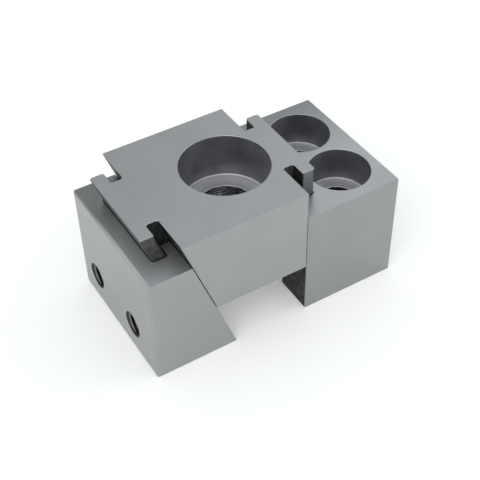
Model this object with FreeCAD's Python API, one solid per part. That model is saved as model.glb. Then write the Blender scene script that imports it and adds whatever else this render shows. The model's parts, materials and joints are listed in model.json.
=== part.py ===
import FreeCAD, Part
import math
import os

from FreeCAD import Placement, Rotation, Vector

# Side clamp block. A screw draws the wedge down between a fixed block and a loose jaw.
# The wedge runs upright on the fixed block and on an incline on the jaw, so the jaw moves out sideways.
# Millimetres. X runs from the jaw to the fixed block, Y is the width and Z is up.
# The origin is on the table, midway between the fixed block's two mounting screws.

# Shared by all three pieces
clamp_width = 38.0
block_height = 30.0
running_gap = 0.1
edge_break = 0.15

# Wedge: wedge_lift is how far its top stands above the blocks while the clamp is released
wedge_top_length = 32.6
wedge_height = 23.0
wedge_lift = 7.4
# Sideways travel of the jaw for each millimetre of wedge travel
wedge_taper = 0.35

# T-shaped tongue, the same on both sides of the wedge
tongue_neck_width = 16.7
tongue_neck_depth = 2.8
tongue_head_width = 24.8
tongue_head_depth = 3.4
tongue_root_radius = 0.5
tongue_lip_radius = 0.5
tongue_tip_radius = 0.8

# Draw screw in the wedge, M12
draw_setback = 10.6
draw_hole_diameter = 13.0
draw_head_diameter = 21.7
draw_head_depth = 11.9

# Fixed block and its two mounting screws, M8
fixed_length = 25.9
mount_setback = 16.0
mount_spacing = 17.0
mount_hole_diameter = 8.5
mount_head_diameter = 15.4
mount_head_depth = 9.1

# Counterbores: the ground top leaves a nearly sharp mouth
mouth_break = 0.08
counterbore_floor_bevel = 0.2
hole_rim_break = 0.2

# Jaw and its two tapped holes for a jaw plate, M6, bored here to the thread's outer diameter
jaw_top_length = 11.1
jaw_face_rounding = 0.8
plate_hole_height = 8.3
plate_hole_spacing = 18.8
plate_hole_offset = 1.5
plate_mouth_diameter = 6.8
plate_thread_diameter = 6.0
plate_thread_depth = 7.5
plate_core_diameter = 5.0
plate_core_depth = 9.0
drill_point_angle = 118.0

# Places worked out from the sizes
taper_angle = math.degrees(math.atan(wedge_taper))
fixed_face_x = -mount_setback
wedge_face_x = fixed_face_x - running_gap
wedge_top_z = block_height + wedge_lift
wedge_foot_z = wedge_top_z - wedge_height
tongue_reach = tongue_neck_depth + tongue_head_depth

# How far a cutter runs past the face it cuts, and how near two places count as one
overrun = 1.0
touch = 1e-4


def incline_x(z, gap=0.0):
    # The wedge's inclined face at height z, or a face that lies gap to its left
    shift = gap / math.cos(math.radians(taper_angle))
    return wedge_face_x - wedge_top_length + (wedge_top_z - z) * wedge_taper - shift


def rounded_face(corners):
    # Flat face in the XY plane, from its corners in order as (x, y, radius)
    bends = []
    stops = []
    for index, (x, y, radius) in enumerate(corners):
        here = Vector(x, y, 0)
        back = (Vector(*corners[index - 1][:2], 0) - here).normalize()
        ahead = (Vector(*corners[(index + 1) % len(corners)][:2], 0) - here).normalize()
        half_angle = back.getAngle(ahead) / 2
        arrive = here + back * (radius / math.tan(half_angle))
        leave = here + ahead * (radius / math.tan(half_angle))
        stops.append((arrive, leave))
        if radius > 0:
            middle = here + (back + ahead).normalize() * radius * (1 / math.sin(half_angle) - 1)
            bends.append(Part.Arc(arrive, middle, leave).toShape())
    runs = [Part.makeLine(stops[index - 1][1], stops[index][0]) for index in range(len(stops))]
    return Part.Face(Part.Wire(Part.__sortEdges__(bends + runs)))


def side_prism(corners):
    # Solid across the full width from (x, z, radius) corners
    face = rounded_face(corners)
    face.rotate(Vector(0, 0, 0), Vector(1, 0, 0), 90)
    face.translate(Vector(0, -clamp_width / 2, 0))
    return face.extrude(Vector(0, clamp_width, 0))


def plan_prism(corners, height):
    # Upright solid on the table from (x, y, radius) corners
    return rounded_face(corners).extrude(Vector(0, 0, height))


def revolved(corners):
    # Solid turned about Z from (radius, z, corner radius) corners
    face = rounded_face(corners)
    face.rotate(Vector(0, 0, 0), Vector(1, 0, 0), 90)
    return face.revolve(Vector(0, 0, 0), Vector(0, 0, 1), 360)


def tongue_bar(grow=0.0):
    # Long T-section along Z that stands out towards +X from the wedge's face at x = 0.
    # The slots are cut with the same section, grown all round by the running gap.
    neck = tongue_neck_width / 2 + grow
    head = tongue_head_width / 2 + grow
    root_radius = tongue_root_radius - grow
    root = neck + root_radius + overrun
    upper = [
        (grow - overrun, root, 0),
        (grow, root, 0),
        (grow, neck, root_radius),
        (tongue_neck_depth - grow, neck, root_radius),
        (tongue_neck_depth - grow, head, tongue_lip_radius + grow),
        (tongue_reach + grow, head, tongue_tip_radius + grow),
    ]
    lower = [(x, -y, radius) for x, y, radius in reversed(upper)]
    half_length = 2 * (block_height + wedge_lift)
    bar = plan_prism(upper + lower, 2 * half_length)
    bar.translate(Vector(0, 0, -half_length))
    return bar


def fixed_side_bar(grow=0.0):
    bar = tongue_bar(grow)
    bar.translate(Vector(wedge_face_x, 0, 0))
    return bar


def jaw_side_bar(grow=0.0):
    # Turned to face the jaw and leaned along the incline
    bar = tongue_bar(grow)
    lean = Rotation(Vector(0, 1, 0), 180 - taper_angle)
    bar.Placement = Placement(Vector(incline_x(0), 0, 0), lean) * bar.Placement
    return bar


def outer_edges(shape, foot, top):
    # Edges round the top and the foot, and the corner edges that join them at both ends of the width
    def is_level(box):
        flat = box.ZLength < touch
        return flat and min(abs(box.ZMin - foot), abs(box.ZMax - top)) < touch

    def is_corner(box):
        at_end = box.YLength < touch and abs(abs(box.YMin) - clamp_width / 2) < touch
        return at_end and box.ZLength > top - foot - touch

    return [edge for edge in shape.Edges if is_level(edge.BoundBox) or is_corner(edge.BoundBox)]


def screw_cutter(head_diameter, head_depth, hole_diameter, thickness):
    # Counterbored through hole with its mouth at z = 0, broken rims and a bevelled floor corner
    head = head_diameter / 2
    hole = hole_diameter / 2
    return revolved([
        (0, overrun, 0),
        (head + mouth_break + overrun, overrun, 0),
        (head, -mouth_break, 0),
        (head, -head_depth + counterbore_floor_bevel, 0),
        (head - counterbore_floor_bevel, -head_depth, 0),
        (hole + hole_rim_break, -head_depth, 0),
        (hole, -head_depth - hole_rim_break, 0),
        (hole, -thickness + hole_rim_break, 0),
        (hole + hole_rim_break + overrun, -thickness - overrun, 0),
        (0, -thickness - overrun, 0),
    ])


def tapped_cutter():
    # Blind tapped hole with its mouth at z = 0: lead-in, thread, core drill and drill point
    mouth = plate_mouth_diameter / 2
    thread = plate_thread_diameter / 2
    core = plate_core_diameter / 2
    point = core / math.tan(math.radians(drill_point_angle / 2))
    return revolved([
        (0, overrun, 0),
        (mouth + overrun, overrun, 0),
        (thread, thread - mouth, 0),
        (thread, -plate_thread_depth, 0),
        (core, -plate_thread_depth - (thread - core), 0),
        (core, -plate_core_depth, 0),
        (0, -plate_core_depth - point, 0),
    ])


def make_wedge():
    solid = side_prism([
        (incline_x(wedge_foot_z), wedge_foot_z, 0),
        (wedge_face_x, wedge_foot_z, 0),
        (wedge_face_x, wedge_top_z, 0),
        (incline_x(wedge_top_z), wedge_top_z, 0),
    ])
    left = incline_x(wedge_top_z) - 2 * tongue_reach
    right = wedge_face_x + 2 * tongue_reach
    layer = Part.makeBox(right - left, clamp_width, wedge_height, Vector(left, -clamp_width / 2, wedge_foot_z))
    tongues = [bar.common(layer) for bar in (fixed_side_bar(), jaw_side_bar())]
    solid = solid.fuse(tongues).removeSplitter()
    solid = solid.makeChamfer(edge_break, outer_edges(solid, wedge_foot_z, wedge_top_z))
    screw = screw_cutter(draw_head_diameter, draw_head_depth, draw_hole_diameter, wedge_height)
    screw.translate(Vector(wedge_face_x - draw_setback, 0, wedge_top_z))
    return solid.cut(screw)


def make_jaw():
    top_x = incline_x(block_height, running_gap)
    foot_x = incline_x(0, running_gap)
    face_x = top_x - jaw_top_length
    solid = side_prism([
        (face_x, 0, 0),
        (foot_x, 0, 0),
        (top_x, block_height, 0),
        (face_x, block_height, 0),
    ])
    solid = solid.cut(jaw_side_bar(running_gap))
    broken = [edge for edge in outer_edges(solid, 0, block_height) if edge.BoundBox.XMax > face_x + touch]
    solid = solid.makeChamfer(edge_break, broken)

    # The clamping face is rounded off along all four edges
    far_x = foot_x + overrun
    half_width = clamp_width / 2
    solid = solid.common(side_prism([
        (face_x, 0, jaw_face_rounding),
        (far_x, 0, 0),
        (far_x, block_height, 0),
        (face_x, block_height, jaw_face_rounding),
    ]))
    solid = solid.common(plan_prism([
        (face_x, -half_width, jaw_face_rounding),
        (far_x, -half_width, 0),
        (far_x, half_width, 0),
        (face_x, half_width, jaw_face_rounding),
    ], block_height))

    for side in (-1, 1):
        hole = tapped_cutter()
        hole.rotate(Vector(0, 0, 0), Vector(0, 1, 0), -90)
        hole.translate(Vector(face_x, plate_hole_offset + side * plate_hole_spacing / 2, plate_hole_height))
        solid = solid.cut(hole)
    return solid


def make_fixed_block():
    corner = Vector(fixed_face_x, -clamp_width / 2, 0)
    solid = Part.makeBox(fixed_length, clamp_width, block_height, corner)
    solid = solid.cut(fixed_side_bar(running_gap))
    solid = solid.makeChamfer(edge_break, outer_edges(solid, 0, block_height))
    for side in (-1, 1):
        screw = screw_cutter(mount_head_diameter, mount_head_depth, mount_hole_diameter, block_height)
        screw.translate(Vector(0, side * mount_spacing / 2, block_height))
        solid = solid.cut(screw)
    return solid


pieces = {
    "centre_wedge": make_wedge(),
    "side_jaw": make_jaw(),
    "fixed_block": make_fixed_block(),
}

os.makedirs("parts", exist_ok=True)
for name, piece in pieces.items():
    box = piece.BoundBox
    print(f"{name}: {len(piece.Solids)} solid, valid {piece.isValid()}, {piece.Volume / 1000:.2f} cm3")
    print(f"  x {box.XMin:.2f} to {box.XMax:.2f}, z {box.ZMin:.2f} to {box.ZMax:.2f}")
    piece.exportStep(f"parts/{name}.step")
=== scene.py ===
import json
import math
from functools import partial

import bpy
from mathutils import Matrix, Vector


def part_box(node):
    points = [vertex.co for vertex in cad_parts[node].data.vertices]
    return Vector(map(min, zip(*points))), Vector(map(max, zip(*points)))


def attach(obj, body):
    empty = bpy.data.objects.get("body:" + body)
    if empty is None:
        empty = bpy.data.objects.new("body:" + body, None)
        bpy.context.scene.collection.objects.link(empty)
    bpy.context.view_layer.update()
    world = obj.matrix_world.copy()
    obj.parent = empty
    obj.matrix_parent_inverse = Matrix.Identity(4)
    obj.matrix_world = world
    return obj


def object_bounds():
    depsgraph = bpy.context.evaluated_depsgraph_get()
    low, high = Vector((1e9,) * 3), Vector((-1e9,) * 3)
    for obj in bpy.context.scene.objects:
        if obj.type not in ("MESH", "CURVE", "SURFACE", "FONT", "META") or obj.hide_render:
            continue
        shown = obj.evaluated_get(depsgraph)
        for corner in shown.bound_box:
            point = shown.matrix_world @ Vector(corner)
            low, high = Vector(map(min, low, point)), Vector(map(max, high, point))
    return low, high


# Looks of a side clamp block: three machined steel pieces on a pale studio floor.
# Lengths are in metres unless a name ends in Mm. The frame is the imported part's own.

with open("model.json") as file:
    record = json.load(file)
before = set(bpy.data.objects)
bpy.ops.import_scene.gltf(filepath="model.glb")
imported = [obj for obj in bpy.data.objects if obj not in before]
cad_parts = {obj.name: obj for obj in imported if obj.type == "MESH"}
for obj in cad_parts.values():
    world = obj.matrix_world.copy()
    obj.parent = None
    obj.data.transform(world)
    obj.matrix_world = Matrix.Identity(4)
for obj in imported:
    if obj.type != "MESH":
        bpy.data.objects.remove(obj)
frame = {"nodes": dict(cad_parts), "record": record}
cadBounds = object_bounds()
mm = 0.001
mounts = {mount["name"]: mount for mount in frame["record"]["mounts"]}
print("frame loaded:", ", ".join(sorted(frame["nodes"])))


def linear(hexColour):
    # sRGB hex to linear RGBA
    channels = [int(hexColour[i:i + 2], 16) / 255 for i in (1, 3, 5)]
    return [c / 12.92 if c < 0.04045 else ((c + 0.055) / 1.055) ** 2.4 for c in channels] + [1.0]


def addNode(tree, kind, inputs=None, output=0, **settings):
    # Adds a node and gives back one of its outputs, or all of them where output is None.
    # Inputs maps a socket's name or number to a value, or to the output that feeds it. The names of
    # a Mix node repeat, so it goes by number: 2 and 3 are its values, 4 and 5 its vectors, 6 and 7
    # its colours.
    node = tree.nodes.new(kind)
    for key, value in settings.items():
        setattr(node, key, value)
    for key, value in (inputs or {}).items():
        if isinstance(value, bpy.types.NodeSocket):
            tree.links.new(value, node.inputs[key])
        else:
            node.inputs[key].default_value = value
    return node.outputs if output is None else node.outputs[output]


def emptyMaterial(name):
    material = bpy.data.materials.new(name)
    material.use_nodes = True
    material.node_tree.nodes.clear()
    return material


def planMm(mountName):
    # Where an upright mount's axis stands, in mm
    return tuple(value / mm for value in mounts[mountName]["pos_m"][:2])


# Hardened alloy steel. Each piece was milled from bar, hardened, and then fine ground outside only.
# The eye gets a soft grey sheen with straight faint scratches on the flats. The slots and pockets
# kept the darker skin of the hardening, darkened further as painted shade in the slots, and the
# pockets show the rings of the cutter.
steelLook = {
    "light": "#ACADAD",
    "dark": "#A3A4A5",
    "blotchMm": 9.0,
    "roughness": (0.34, 0.42),
    "scratchPitchMm": 0.35,         # a ground face has about 0.05, drawn coarser so that it shows
    "scratchLengthMm": 14.0,
    "scratchDepthMm": 0.0010,
    "topNormal": 0.6,               # how far up a face must point to count as a top
    "topEdge": (0.5, 0.95),         # where its tone starts to turn into the top's and has turned
    "endNormal": 0.75,              # how far along X a face must point to be scratched along Y
}
# Dark skin of the hardening, also standing for painted shade in the slots and under the wedge
skinAndShadeLook = {
    "colour": "#2B2C2D",
    "roughness": 0.55,
    "mottleMm": 1.2,                # patches where the skin is thin
    "thinnest": 0.82,
    "halfWidthMm": 18.7,            # it ends just inside the outer faces
}
pocketLook = {
    "wallDark": "#88888E",
    "wallLight": "#9A9AA0",
    "wallPatchMm": 5.0,             # uneven colour left by the hardening
    "wallShade": (0.76, 1.22),      # painted shade, from a wall's foot, where it is darkest, to its mouth
    "wallRoughness": (0.40, 0.50),
    # the floor's tone, far lighter than the walls', is partly painted light on the upward faces
    "floorDark": "#D0CFD2",
    "floorLight": "#FBFAFD",
    "floorRoughness": (0.62, 0.78),
    "grainMm": 0.35,                # torn spots of the floor
    "worn": (1.1, -0.6),            # factor and shift that turn its marks into light and dark
    "dulledMm": 2.4,                # ring of the floor next to the hole, made darker
    "dulledShade": 0.62,
    "brightRimMm": 0.25,            # painted highlight on the hole's broken rim
    # tones of the drilled hole, its dark one painted shade inside it
    "holeDark": "#2E2E30",
    "holeLight": "#A4A4A6",
    "tornLengthMm": 1.6,            # lines that the drill's lips tore in the hole
    "tornPitchMm": 0.28,
    "torn": (4.0, -1.5),            # factor and shift of those lines, as for the floor
    # walls and mouths of the tapped holes, dark as painted shade
    "tappedWall": "#3E3E40",
    "ringPitchMm": 0.30,            # feed marks of the cutter, drawn at twice their real width
    "ringDepthMm": 0.010,
    "rimMm": 0.02,                  # a pocket's finish reaches this far past its radius
    "holeRimMm": 0.1,               # and a hole's this far
}
patchEdges = (0.35, 0.65)           # a noise's values where a patch starts and where it is full


def surfaceOf(tree, piece):
    # What a point's finish depends on: its place in mm, which way it faces, how far it is from the
    # nearest pocket's axis, and whether it is inside the pockets or in the holes in their floors
    add = partial(addNode, tree)
    place = add("ShaderNodeTexCoord", output=None)
    position = add("ShaderNodeVectorMath", {0: place["Object"], "Scale": 1 / mm}, operation="SCALE")
    parts = add("ShaderNodeSeparateXYZ", {0: position}, None)
    normal = add("ShaderNodeSeparateXYZ", {0: place["Normal"]}, None)
    facesUp = add("ShaderNodeMath", {0: normal["Z"], 1: steelLook["topNormal"]}, operation="GREATER_THAN")
    start, end = steelLook["topEdge"]
    onTop = add("ShaderNodeMapRange", {0: normal["Z"], 1: start, 2: end})
    sideways = add("ShaderNodeMath", {0: normal["X"]}, operation="ABSOLUTE")
    facesX = add("ShaderNodeMath", {0: sideways, 1: steelLook["endNormal"]}, operation="GREATER_THAN")

    first, second = {"X": ("Y", "Z"), "Z": ("X", "Y")}[piece["along"]]
    flat = add("ShaderNodeCombineXYZ", {0: parts[first], 1: parts[second]})
    distances = [
        add("ShaderNodeVectorMath", {0: flat, 1: (*centre, 0)}, "Value", operation="DISTANCE")
        for centre in piece["pocketsMm"]
    ]
    nearest = distances[0]
    for other in distances[1:]:
        nearest = add("ShaderNodeMath", {0: nearest, 1: other}, operation="MINIMUM")
    radius = piece["radiusMm"] + pocketLook["rimMm"]
    wide = add("ShaderNodeMath", {0: nearest, 1: radius}, operation="LESS_THAN")
    low, high = piece["depthsMm"]
    middle = (low + high) / 2
    depth = parts[piece["along"]]
    deep = add("ShaderNodeMath", {0: depth, 1: middle, 2: high - middle}, operation="COMPARE")
    pocket = add("ShaderNodeMath", {0: wide, 1: deep}, operation="MULTIPLY")
    radius = piece["holeMm"] + pocketLook["holeRimMm"]
    hole = add("ShaderNodeMath", {0: nearest, 1: radius}, operation="LESS_THAN")
    inside = add("ShaderNodeMath", {0: pocket, 1: hole}, operation="MAXIMUM")

    # Rings round each pocket's axis, on its wall and on its floor
    turned = add("ShaderNodeCombineXYZ", {0: nearest, 1: depth})
    inputs = {"Vector": turned, "Scale": 1 / pocketLook["ringPitchMm"], "Detail": 2.0, "Roughness": 0.5}
    rings = add("ShaderNodeTexNoise", inputs, noise_dimensions="2D")
    return {
        "position": position, "parts": parts, "facesUp": facesUp, "onTop": onTop, "facesX": facesX,
        "nearest": nearest, "inside": inside, "hole": hole, "rings": rings,
    }


def skinAndShadeOn(tree, at, piece):
    # How thick the hardening's dark skin is, which also paints shade in the slots and under the
    # wedge: full in the piece's slabs, patchy, and none where a tool has cut since
    add = partial(addNode, tree)
    skinAndShade = 0.0
    for leans, start, end, strength in piece["slabs"]:
        across = (1 / slant, 0, taper / slant) if leans else (1, 0, 0)
        inputs = {0: at["position"], 1: across}
        distance = add("ShaderNodeVectorMath", inputs, "Value", operation="DOT_PRODUCT")
        inputs = {0: distance, 1: (start + end) / 2, 2: (end - start) / 2}
        slab = add("ShaderNodeMath", inputs, operation="COMPARE")
        slab = add("ShaderNodeMath", {0: slab, 1: strength}, operation="MULTIPLY")
        skinAndShade = add("ShaderNodeMath", {0: skinAndShade, 1: slab}, operation="MAXIMUM")
    aside = add("ShaderNodeMath", {0: at["parts"]["Y"]}, operation="ABSOLUTE")
    within = add("ShaderNodeMath", {0: aside, 1: skinAndShadeLook["halfWidthMm"]}, operation="LESS_THAN")
    bare = add("ShaderNodeMath", {0: at["facesUp"], 1: at["inside"]}, operation="MAXIMUM")
    covered = add("ShaderNodeMath", {0: 1.0, 1: bare}, operation="SUBTRACT")
    inputs = {"Vector": at["position"], "Scale": 1 / skinAndShadeLook["mottleMm"], "Detail": 3.0}
    mottle = add("ShaderNodeTexNoise", inputs)
    start, end = patchEdges
    patchy = add("ShaderNodeMapRange", {0: mottle, 1: start, 2: end, 3: skinAndShadeLook["thinnest"], 4: 1.0})
    for share in (within, covered, patchy):
        skinAndShade = add("ShaderNodeMath", {0: skinAndShade, 1: share}, operation="MULTIPLY")
    return skinAndShade


def groundColourWithPaintedShade(tree, at, piece):
    # Painted light and shade: each piece's top goes from darker to lighter towards one corner, and
    # its sides get a darker factor, for how the light falls on it
    add = partial(addNode, tree)
    inputs = {"Vector": at["position"], "Scale": 1 / steelLook["blotchMm"], "Detail": 2.0}
    blotches = add("ShaderNodeTexNoise", inputs)
    inputs = {0: blotches, 6: linear(steelLook["dark"]), 7: linear(steelLook["light"])}
    ground = add("ShaderNodeMix", inputs, 2, data_type="RGBA")
    # Painted light and shade on the top, lighter towards one corner and darker towards the other
    inputs = {0: at["position"], 1: piece["lighterTowards"]}
    along = add("ShaderNodeVectorMath", inputs, "Value", operation="DOT_PRODUCT")
    start, end = piece["betweenMm"]
    darkest, lightest = piece["top"]
    top = add("ShaderNodeMapRange", {0: along, 1: start, 2: end, 3: darkest, 4: lightest})
    shade = add("ShaderNodeMix", {0: at["onTop"], 2: piece["sides"], 3: top})
    return add("ShaderNodeVectorMath", {0: ground, "Scale": shade}, operation="SCALE")


def pocketColourWithPaintedLight(tree, at, piece):
    # Turned floor with torn grain, made bright partly by painted light, darker next to the hole
    add = partial(addNode, tree)
    look = pocketLook
    inputs = {"Vector": at["position"], "Scale": 1 / look["grainMm"], "Detail": 1.0}
    grains = add("ShaderNodeTexNoise", inputs)
    marks = add("ShaderNodeMath", {0: at["rings"], 1: grains}, operation="ADD")
    factor, shift = look["worn"]
    worn = add("ShaderNodeMath", {0: marks, 1: factor, 2: shift}, operation="MULTIPLY_ADD", use_clamp=True)
    inputs = {0: worn, 6: linear(look["floorDark"]), 7: linear(look["floorLight"])}
    floor = add("ShaderNodeMix", inputs, 2, data_type="RGBA")
    start = piece["holeMm"]
    end = start + look["dulledMm"]
    darkRing = add("ShaderNodeMapRange", {0: at["nearest"], 1: start, 2: end, 3: look["dulledShade"], 4: 1.0})
    # Painted highlight: the hole's rim keeps the floor's full light tone
    rimGlint = add("ShaderNodeMath", {0: at["nearest"], 1: start + look["brightRimMm"]}, operation="LESS_THAN")
    shade = add("ShaderNodeMath", {0: darkRing, 1: rimGlint}, operation="MAXIMUM")
    floor = add("ShaderNodeVectorMath", {0: floor, "Scale": shade}, operation="SCALE")

    # Patchy wall, with painted shade darker towards its foot
    inputs = {"Vector": at["position"], "Scale": 1 / look["wallPatchMm"], "Detail": 3.0}
    patches = add("ShaderNodeTexNoise", inputs)
    start, end = patchEdges
    uneven = add("ShaderNodeMapRange", {0: patches, 1: start, 2: end})
    inputs = {0: uneven, 6: linear(look["wallDark"]), 7: linear(look["wallLight"])}
    wall = add("ShaderNodeMix", inputs, 2, data_type="RGBA")
    foot, mouth = piece["depthsMm"]
    darkest, lightest = look["wallShade"]
    shade = add("ShaderNodeMapRange", {0: at["parts"]["Z"], 1: foot, 2: mouth, 3: darkest, 4: lightest})
    wall = add("ShaderNodeVectorMath", {0: wall, "Scale": shade}, operation="SCALE")

    # Torn lines round the hole, on a dark tone that is painted shade inside it
    around = 1 / look["tornLengthMm"]
    inputs = {0: at["position"], 1: (around, around, 1 / look["tornPitchMm"])}
    stretched = add("ShaderNodeVectorMath", inputs, operation="MULTIPLY")
    lines = add("ShaderNodeTexNoise", {"Vector": stretched, "Scale": 1.0, "Detail": 2.0})
    factor, shift = look["torn"]
    torn = add("ShaderNodeMath", {0: lines, 1: factor, 2: shift}, operation="MULTIPLY_ADD", use_clamp=True)
    inputs = {0: torn, 6: linear(look["holeDark"]), 7: linear(look["holeLight"])}
    drilled = add("ShaderNodeMix", inputs, 2, data_type="RGBA")

    colour = add("ShaderNodeMix", {0: at["facesUp"], 6: wall, 7: floor}, 2, data_type="RGBA")
    return add("ShaderNodeMix", {0: at["hole"], 6: colour, 7: drilled}, 2, data_type="RGBA")


def machinedSteel(piece):
    material = emptyMaterial(piece["material"])
    tree = material.node_tree
    add = partial(addNode, tree)
    at = surfaceOf(tree, piece)
    skinAndShade = skinAndShadeOn(tree, at, piece)
    ground = groundColourWithPaintedShade(tree, at, piece)
    # Pockets carry painted light and shade, and the tapped holes a dark tone of painted shade
    cut = pocketColourWithPaintedLight(tree, at, piece) if piece["holeMm"] else linear(pocketLook["tappedWall"])
    steel = add("ShaderNodeMix", {0: at["inside"], 6: ground, 7: cut}, 2, data_type="RGBA")
    # Dark skin over the steel, partly painted shade in the slots
    inputs = {0: skinAndShade, 6: steel, 7: linear(skinAndShadeLook["colour"])}
    colour = add("ShaderNodeMix", inputs, 2, data_type="RGBA")

    # Straight grinding scratches, along X on most faces and along Y on those that face along X
    across = 1 / steelLook["scratchPitchMm"]
    ahead = 1 / steelLook["scratchLengthMm"]
    inputs = {0: at["position"], 1: (ahead, across, across)}
    alongX = add("ShaderNodeVectorMath", inputs, operation="MULTIPLY")
    inputs = {0: at["position"], 1: (across, ahead, across)}
    alongY = add("ShaderNodeVectorMath", inputs, operation="MULTIPLY")
    lay = add("ShaderNodeMix", {0: at["facesX"], 4: alongX, 5: alongY}, 1, data_type="VECTOR")
    scratches = add("ShaderNodeTexNoise", {"Vector": lay, "Scale": 1.0, "Detail": 3.0, "Roughness": 0.6})

    low, high = pocketLook["wallRoughness"]
    wall = add("ShaderNodeMapRange", {0: at["rings"], 3: low, 4: high})
    low, high = pocketLook["floorRoughness"]
    floor = add("ShaderNodeMapRange", {0: at["rings"], 3: low, 4: high})
    pocket = add("ShaderNodeMix", {0: at["facesUp"], 2: wall, 3: floor})
    low, high = steelLook["roughness"]
    flat = add("ShaderNodeMapRange", {0: scratches, 3: low, 4: high})
    milled = add("ShaderNodeMath", {0: at["onTop"], 1: piece["topRoughness"]}, operation="MULTIPLY")
    flat = add("ShaderNodeMath", {0: flat, 1: milled}, operation="ADD")
    roughness = add("ShaderNodeMix", {0: at["inside"], 2: flat, 3: pocket})
    roughness = add("ShaderNodeMix", {0: skinAndShade, 2: roughness, 3: skinAndShadeLook["roughness"]})

    inputs = {0: scratches, 1: steelLook["scratchDepthMm"] * mm}
    scratched = add("ShaderNodeMath", inputs, operation="MULTIPLY")
    ringed = add("ShaderNodeMath", {0: at["rings"], 1: pocketLook["ringDepthMm"] * mm}, operation="MULTIPLY")
    height = add("ShaderNodeMix", {0: at["inside"], 2: scratched, 3: ringed})
    bump = add("ShaderNodeBump", {"Height": height, "Strength": 1.0, "Distance": 1.0})
    inputs = {"Base Color": colour, "Metallic": 1.0, "Roughness": roughness, "Normal": bump}
    shader = add("ShaderNodeBsdfPrincipled", inputs)
    add("ShaderNodeOutputMaterial", {"Surface": shader}, None)
    return material


# The skin, dark also as painted shade, lies in slabs that stand upright or lean with the wedge's
# incline. Their faces are given by the distance from the frame's origin, square to them and counted
# to the right, in mm.
taper = frame["record"]["behaviour"]["couplings"][0]["ratio"]
slant = math.hypot(1, taper)
upright = -16.1                     # the wedge's upright face
inclineFoot = -35.61                # where its inclined face would meet the table
incline = inclineFoot / slant
neck = 2.8                          # how far each tongue's neck stands out from the wedge
reach = 6.2                         # and its head
gap = 0.1
lap = 0.05                          # a slab reaches this far past the faces that it covers

# Each piece has its pockets or tapped holes, with the axis that they run along and how far they
# reach on it, and its slabs of skin and painted shade as (leans, from, to, strength). Sides and top
# are factors of painted light and shade on the ground steel's tone, and the top goes from its
# darkest to its lightest between two places.
wedge = {
    "material": "groundSteelWedge",
    "along": "Z",
    "pocketsMm": [planMm("draw_screw_head")],
    "radiusMm": mounts["draw_screw_head"]["dims"]["r_mm"],
    "holeMm": mounts["draw_screw"]["dims"]["r_mm"],
    "depthsMm": (25.3, 37.5),
    "slabs": [
        (False, upright - lap, upright + neck + lap, 0.68),
        (False, upright + neck, upright + reach + lap, 0.55),
        (True, incline - neck - lap, incline + lap, 0.95),
        (True, incline - reach - lap, incline - neck, 0.82),
    ],
    "sides": 0.92,
    "top": (0.91, 1.10),
    "lighterTowards": (0.6, -0.8, 0),
    "betweenMm": (-45, 5),
    "topRoughness": 0.0,
}
block = {
    "material": "groundSteelBlock",
    "along": "Z",
    "pocketsMm": [planMm("mounting_head_near"), planMm("mounting_head_far")],
    "radiusMm": mounts["mounting_head_near"]["dims"]["r_mm"],
    "holeMm": mounts["mounting_bolts"]["dims"]["hole_r_mm"],
    "depthsMm": (20.7, 30.1),
    "slabs": [(False, upright + lap, upright + reach + 2 * gap + lap, 1.0)],
    "sides": 0.83,
    "top": (0.74, 1.24),
    "lighterTowards": (0.25, -0.97, 0),
    "betweenMm": (-16, 4),
    "topRoughness": 0.0,
}
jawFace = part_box("side_jaw")[0][0]
plateScrews = mounts["jaw_plate_screws"]
holesAt = (plateScrews["pos_m"][1] / mm, plateScrews["pos_m"][2] / mm)
holeSpacing = plateScrews["dims"]["spacing_x_mm"]
jaw = {
    "material": "groundSteelJaw",
    "along": "X",
    "pocketsMm": [(holesAt[0] + side * holeSpacing / 2, holesAt[1]) for side in (-1, 1)],
    "radiusMm": 3.4,                # their countersunk mouths
    "holeMm": 0,                    # with no hole in a floor
    "depthsMm": (jawFace / mm - 0.1, jawFace / mm + 11.0),
    "slabs": [(True, incline - reach - 2 * gap - lap, incline - gap + lap, 1.0)],
    "sides": 0.90,
    "top": (0.60, 1.30),
    "lighterTowards": (0.75, -0.66, 0),
    "betweenMm": (-49, -40),
    "topRoughness": 0.17,           # ground with a coarser wheel than the others
}
for nodeName, piece in {"centre_wedge": wedge, "fixed_block": block, "side_jaw": jaw}.items():
    mesh = frame["nodes"][nodeName].data
    mesh.materials.clear()
    mesh.materials.append(machinedSteel(piece))
print("steel finishes on the three pieces")

# Threads of the jaw's two tapped holes, whose pitch is that of a coarse M6 screw
threadLook = {
    "rootMm": plateScrews["dims"]["hole_r_mm"],
    "crestMm": 2.5,
    "pitchMm": 1.0,
    "lengthMm": 6.4,
    "stepsPerTurn": 40,
    "buryMm": 0.03,                 # how deep the ridge's foot sits in the wall
    "tone": "#77787A",
    "roughness": (0.32, 0.5),
    "tornMm": 0.4,
}


def cutThreadSteel():
    # Freshly cut thread flanks, brighter than the painted shade on the hole wall round them
    material = emptyMaterial("cutThreadSteel")
    add = partial(addNode, material.node_tree)
    place = add("ShaderNodeTexCoord", output="Object")
    inputs = {"Vector": place, "Scale": 1 / (threadLook["tornMm"] * mm), "Detail": 2.0}
    torn = add("ShaderNodeTexNoise", inputs)
    low, high = threadLook["roughness"]
    roughness = add("ShaderNodeMapRange", {0: torn, 3: low, 4: high})
    inputs = {"Base Color": linear(threadLook["tone"]), "Metallic": 1.0, "Roughness": roughness}
    shader = add("ShaderNodeBsdfPrincipled", inputs)
    add("ShaderNodeOutputMaterial", {"Surface": shader}, None)
    return material


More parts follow.
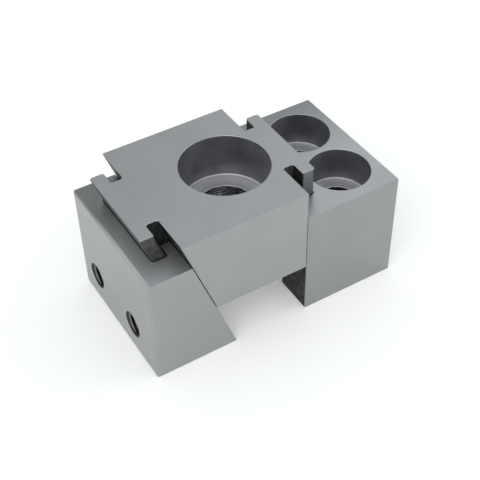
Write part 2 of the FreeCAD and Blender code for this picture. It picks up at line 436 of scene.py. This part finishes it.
def threadTree():
    # A ridge swept along a right-hand helix and trimmed to the countersunk mouth, once in each hole
    tree = bpy.data.node_groups.new("tappedThreads", "GeometryNodeTree")
    add = partial(addNode, tree)
    sizes = ("Root Radius", "Crest Radius", "Pitch", "Length", "Mouth Radius", "Spacing")
    for name in sizes:
        tree.interface.new_socket(name, in_out="INPUT", socket_type="NodeSocketFloat")
    tree.interface.new_socket("Steps Per Turn", in_out="INPUT", socket_type="NodeSocketInt")
    tree.interface.new_socket("Place", in_out="INPUT", socket_type="NodeSocketVector")
    tree.interface.new_socket("Steel", in_out="INPUT", socket_type="NodeSocketMaterial")
    tree.interface.new_socket("Threads", in_out="OUTPUT", socket_type="NodeSocketGeometry")
    asked = add("NodeGroupInput", output=None)
    bury = threadLook["buryMm"] * mm

    turns = add("ShaderNodeMath", {0: asked["Length"], 1: asked["Pitch"]}, operation="DIVIDE")
    helix = add("GeometryNodeCurveSpiral", {
        "Resolution": asked["Steps Per Turn"], "Rotations": turns, "Height": asked["Length"],
        "Start Radius": asked["Root Radius"], "End Radius": asked["Root Radius"], "Reverse": True,
    })
    helix = add("GeometryNodeSetCurveNormal", {"Curve": helix}, mode="Z_UP")

    # The ridge's section: seven eighths of the pitch wide at its foot and a quarter at its crest
    stand = add("ShaderNodeMath", {0: asked["Root Radius"], 1: asked["Crest Radius"]}, operation="SUBTRACT")
    height = add("ShaderNodeMath", {0: stand, 1: bury}, operation="ADD")
    foot = add("ShaderNodeMath", {0: asked["Pitch"], 1: 0.875}, operation="MULTIPLY")
    crest = add("ShaderNodeMath", {0: asked["Pitch"], 1: 0.25}, operation="MULTIPLY")
    section = add("GeometryNodeCurvePrimitiveQuadrilateral", {
        "Height": height, "Bottom Width": foot, "Top Width": crest, "Offset": 0.0,
    }, mode="TRAPEZOID")
    half = add("ShaderNodeMath", {0: height, 1: 0.5}, operation="MULTIPLY")
    inwards = add("ShaderNodeMath", {0: bury, 1: half}, operation="SUBTRACT")
    section = add("GeometryNodeTransform", {
        "Geometry": section, "Rotation": (0, 0, math.radians(90)),
        "Translation": add("ShaderNodeCombineXYZ", {0: inwards}),
    })
    ridge = add("GeometryNodeCurveToMesh", {"Curve": helix, "Profile Curve": section, "Fill Caps": True})

    # Points that would stand inside the mouth's cone move out to it, just under its surface.
    # The helix starts half a pitch inside the face.
    here = add("ShaderNodeSeparateXYZ", {0: add("GeometryNodeInputPosition")}, None)
    flat = add("ShaderNodeCombineXYZ", {0: here["X"], 1: here["Y"]})
    radius = add("ShaderNodeVectorMath", {0: flat}, "Value", operation="LENGTH")
    depth = add("ShaderNodeMath", {0: asked["Pitch"], 1: 0.5, 2: here["Z"]}, operation="MULTIPLY_ADD")
    cone = add("ShaderNodeMath", {0: asked["Mouth Radius"], 1: depth}, operation="SUBTRACT")
    cone = add("ShaderNodeMath", {0: cone, 1: pocketLook["rimMm"] * mm}, operation="ADD")
    trimmed = add("ShaderNodeMath", {0: radius, 1: cone}, operation="MAXIMUM")
    stretch = add("ShaderNodeMath", {0: trimmed, 1: radius}, operation="DIVIDE")
    moved = add("ShaderNodeVectorMath", {0: flat, "Scale": stretch}, operation="SCALE")
    rise = add("ShaderNodeCombineXYZ", {2: here["Z"]})
    moved = add("ShaderNodeVectorMath", {0: moved, 1: rise}, operation="ADD")
    ridge = add("GeometryNodeSetPosition", {"Geometry": ridge, "Position": moved})

    aside = add("ShaderNodeMath", {0: asked["Spacing"], 1: -0.5}, operation="MULTIPLY")
    holes = add("GeometryNodeMeshLine", {
        "Count": 2,
        "Start Location": add("ShaderNodeCombineXYZ", {1: aside}),
        "Offset": add("ShaderNodeCombineXYZ", {1: asked["Spacing"]}),
    }, mode="OFFSET")
    copies = add("GeometryNodeInstanceOnPoints", {
        "Points": holes, "Instance": ridge, "Rotation": (0, math.radians(90), 0),
    })
    placed = add("GeometryNodeTransform", {"Geometry": copies, "Translation": asked["Place"]})
    real = add("GeometryNodeRealizeInstances", {"Geometry": placed})
    steel = add("GeometryNodeSetMaterial", {"Geometry": real, "Material": asked["Steel"]})
    add("NodeGroupOutput", {"Threads": steel}, None)
    return tree


threadInputs = {
    "Root Radius": threadLook["rootMm"] * mm,
    "Crest Radius": threadLook["crestMm"] * mm,
    "Pitch": threadLook["pitchMm"] * mm,
    "Length": threadLook["lengthMm"] * mm,
    "Mouth Radius": jaw["radiusMm"] * mm,
    "Spacing": holeSpacing * mm,
    "Steps Per Turn": threadLook["stepsPerTurn"],
    "Place": (jawFace + threadLook["pitchMm"] * mm / 2, holesAt[0] * mm, holesAt[1] * mm),
    "Steel": cutThreadSteel(),
}
threadMaker = bpy.data.objects.new("threadMaker", bpy.data.meshes.new("threadMaker"))
bpy.context.scene.collection.objects.link(threadMaker)
modifier = threadMaker.modifiers.new("threads", "NODES")
modifier.node_group = threadTree()
for item in modifier.node_group.interface.items_tree:
    if item.name in threadInputs:
        modifier[item.identifier] = threadInputs[item.name]
graph = bpy.context.evaluated_depsgraph_get()
threadMesh = bpy.data.meshes.new_from_object(threadMaker.evaluated_get(graph), depsgraph=graph)
bpy.data.objects.remove(threadMaker)
threads = bpy.data.objects.new("plateScrewThreads", threadMesh)
bpy.context.scene.collection.objects.link(threads)
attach(threads, "jaw")
print("threads in the two tapped holes:", len(threadMesh.polygons), "faces")

# Floor
floorLook = {
    "size": 4.0,
    "colour": "#F1F1EF",
    "lift": 0.22,           # keeps the paper white in the picture and in the steel's reflections
}


def whitePaper():
    # Matt white paper sweep: no gloss, only a soft shadow
    material = emptyMaterial("mattWhitePaper")
    add = partial(addNode, material.node_tree)
    paper = add("ShaderNodeBsdfDiffuse", {"Color": linear(floorLook["colour"])})
    rays = add("ShaderNodeLightPath", output=None)
    seen = add("ShaderNodeMath", {0: rays["Is Camera Ray"], 1: rays["Is Glossy Ray"]}, operation="MAXIMUM")
    seen = add("ShaderNodeMath", {0: seen, 1: rays["Is Transmission Ray"]}, operation="MAXIMUM")
    strength = add("ShaderNodeMath", {0: seen, 1: floorLook["lift"]}, operation="MULTIPLY")
    glow = add("ShaderNodeEmission", {"Strength": strength})
    both = add("ShaderNodeAddShader", {0: paper, 1: glow})
    add("ShaderNodeOutputMaterial", {"Surface": both}, None)
    return material


half = floorLook["size"] / 2
floorMesh = bpy.data.meshes.new("floor")
corners = [(-half, -half, 0), (half, -half, 0), (half, half, 0), (-half, half, 0)]
floorMesh.from_pydata(corners, [], [(0, 1, 2, 3)])
floor = bpy.data.objects.new("floor", floorMesh)
floorMesh.materials.append(whitePaper())
bpy.context.scene.collection.objects.link(floor)

# Light: a pale sky, white at the horizon and a little darker and bluer above, and two soft boxes
skyLook = {
    "horizon": "#FFFFFF",
    "above": "#E1E6E8",
    "rise": (0.05, 0.6),    # how far up it starts to turn and has turned
}
world = bpy.data.worlds.new("studioSky")
world.use_nodes = True
world.node_tree.nodes.clear()
addToSky = partial(addNode, world.node_tree)
direction = addToSky("ShaderNodeTexCoord", output="Generated")
upwards = addToSky("ShaderNodeSeparateXYZ", {0: direction}, "Z")
rise = addToSky("ShaderNodeMapRange", {0: upwards, 1: skyLook["rise"][0], 2: skyLook["rise"][1]})
skyInputs = {0: rise, 6: linear(skyLook["horizon"]), 7: linear(skyLook["above"])}
skyColour = addToSky("ShaderNodeMix", skyInputs, 2, data_type="RGBA")
sky = addToSky("ShaderNodeBackground", {"Color": skyColour, "Strength": 1.0})
addToSky("ShaderNodeOutputWorld", {"Surface": sky}, None)
bpy.context.scene.world = world

softBoxes = {
    "keyBox": {"place": (-0.45, -0.35, 0.55), "size": 0.4, "watts": 1.2},
    "fillBox": {"place": (0.5, -0.2, 0.45), "size": 0.4, "watts": 0.4},
}
middle = (cadBounds[0] + cadBounds[1]) / 2
for name, box in softBoxes.items():
    lamp = bpy.data.lights.new(name, "AREA")
    lamp.size = box["size"]
    lamp.energy = box["watts"]
    lampObject = bpy.data.objects.new(name, lamp)
    place = Vector(box["place"])
    turn = (middle - place).to_track_quat("-Z", "Y").to_matrix().to_4x4()
    lampObject.matrix_world = Matrix.Translation(place) @ turn
    bpy.context.scene.collection.objects.link(lampObject)
bpy.context.scene.view_settings.view_transform = "Standard"
print("floor, sky and soft boxes")

# Camera at the photograph's viewing angle, from the vanishing lines of the blocks
photoView = {
    "placeMm": (-115.78, -156.04, 184.48),
    "azimuth": -30.74,
    "elevation": 43.61,
    "roll": -1.23,
    "lensMm": 75.50,
}
camera = bpy.data.cameras.new("photoCamera")
camera.sensor_fit = "HORIZONTAL"
camera.sensor_width = 36.0
camera.lens = photoView["lensMm"]
camera.clip_start = 0.01
cameraObject = bpy.data.objects.new("photoCamera", camera)
cameraObject.matrix_world = (
    Matrix.Translation(Vector(photoView["placeMm"]) * mm)
    @ Matrix.Rotation(math.radians(photoView["azimuth"]), 4, "Z")
    @ Matrix.Rotation(math.radians(90 - photoView["elevation"]), 4, "X")
    @ Matrix.Rotation(math.radians(photoView["roll"]), 4, "Z")
)
bpy.context.scene.collection.objects.link(cameraObject)
bpy.context.scene.camera = cameraObject
print("camera")
